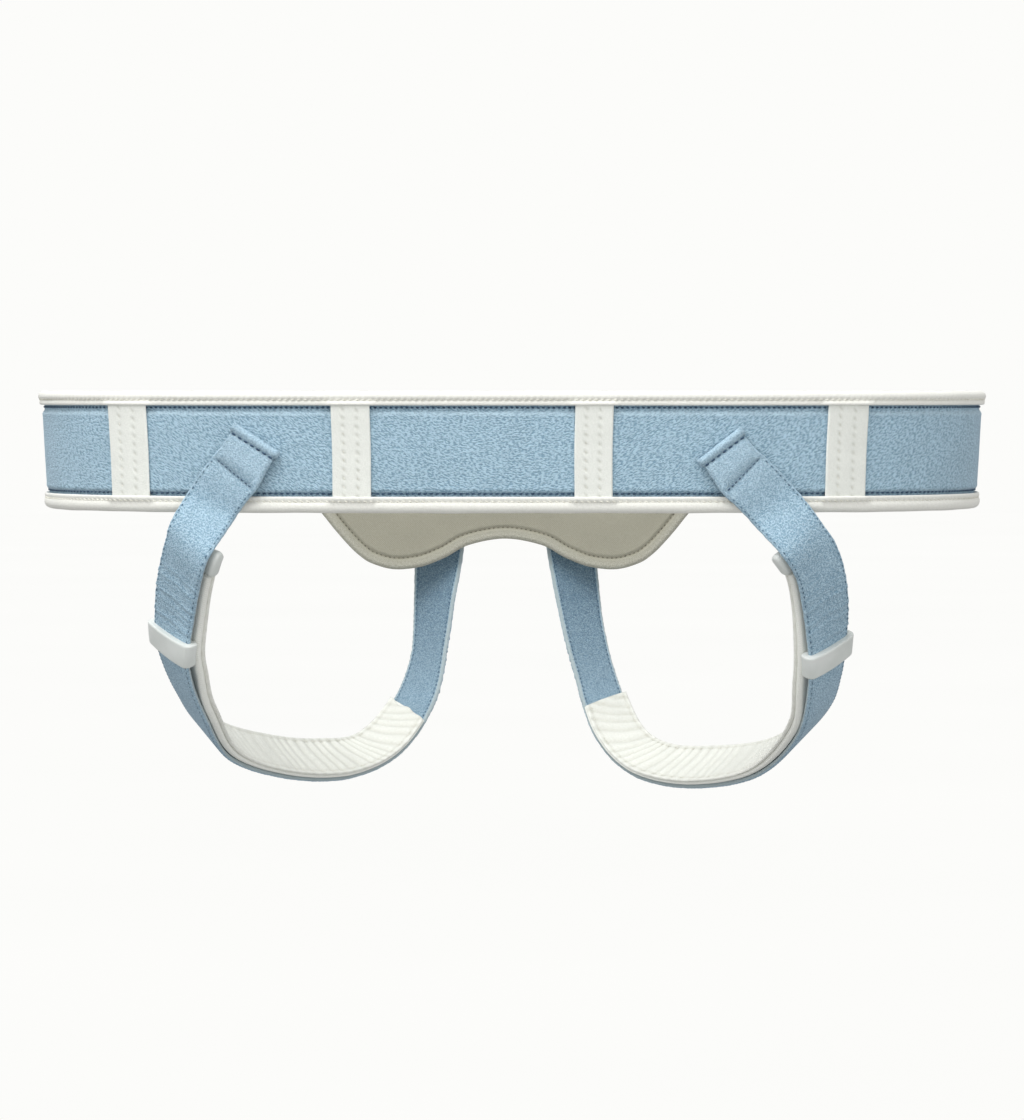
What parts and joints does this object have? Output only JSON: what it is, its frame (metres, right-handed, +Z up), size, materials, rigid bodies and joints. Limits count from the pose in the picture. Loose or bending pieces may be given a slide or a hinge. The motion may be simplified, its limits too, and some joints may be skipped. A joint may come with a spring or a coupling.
{
  "type": "hernia belt",
  "caption": "Padded waistband bound in cream, with a two-lobed groin pad and padded leg straps through plastic loops.",
  "frame": {"origin": "middle of the waistband's opening, halfway up the band, where the wearer's hips sit", "axes": "+Z up along the wearer, +X to the right when the two strap tabs are seen, +Y towards the side with the groin pad"},
  "size_m": [0.3802, 0.2445, 0.1621],
  "materials": {
    "blue_cloth": "light blue pebbled cloth with a fine crepe grain",
    "blue_strap": "light blue strap cloth with a finer grain, darker stitching along its edges",
    "cream_binding": "cream soft binding, rolled, with stitching along its flange",
    "cream_tape": "cream brushed tape with two rows of stitching",
    "cream_lining": "cream padded lining, slightly ribbed across",
    "pad_cloth": "cream padded cloth with a stitched line inside its rolled edge",
    "white_plastic": "smooth white moulded plastic with a soft sheen"
  },
  "bodies": {
    "root": {"waist_panel": "blue_cloth", "top_binding": "cream_binding", "bottom_binding": "cream_binding", "keeper_tape_1": "cream_tape", "keeper_tape_2": "cream_tape", "keeper_tape_3": "cream_tape", "keeper_tape_4": "cream_tape", "closure_flap": "blue_cloth", "groin_pad": "pad_cloth", "leg_strap_left": "blue_strap", "leg_strap_right": "blue_strap", "strap_lining_left": "cream_lining", "strap_lining_right": "cream_lining", "strap_loop_left": "white_plastic", "strap_loop_right": "white_plastic", "strap_glide_left": "white_plastic", "strap_glide_right": "white_plastic"}
  },
  "joints": []
}
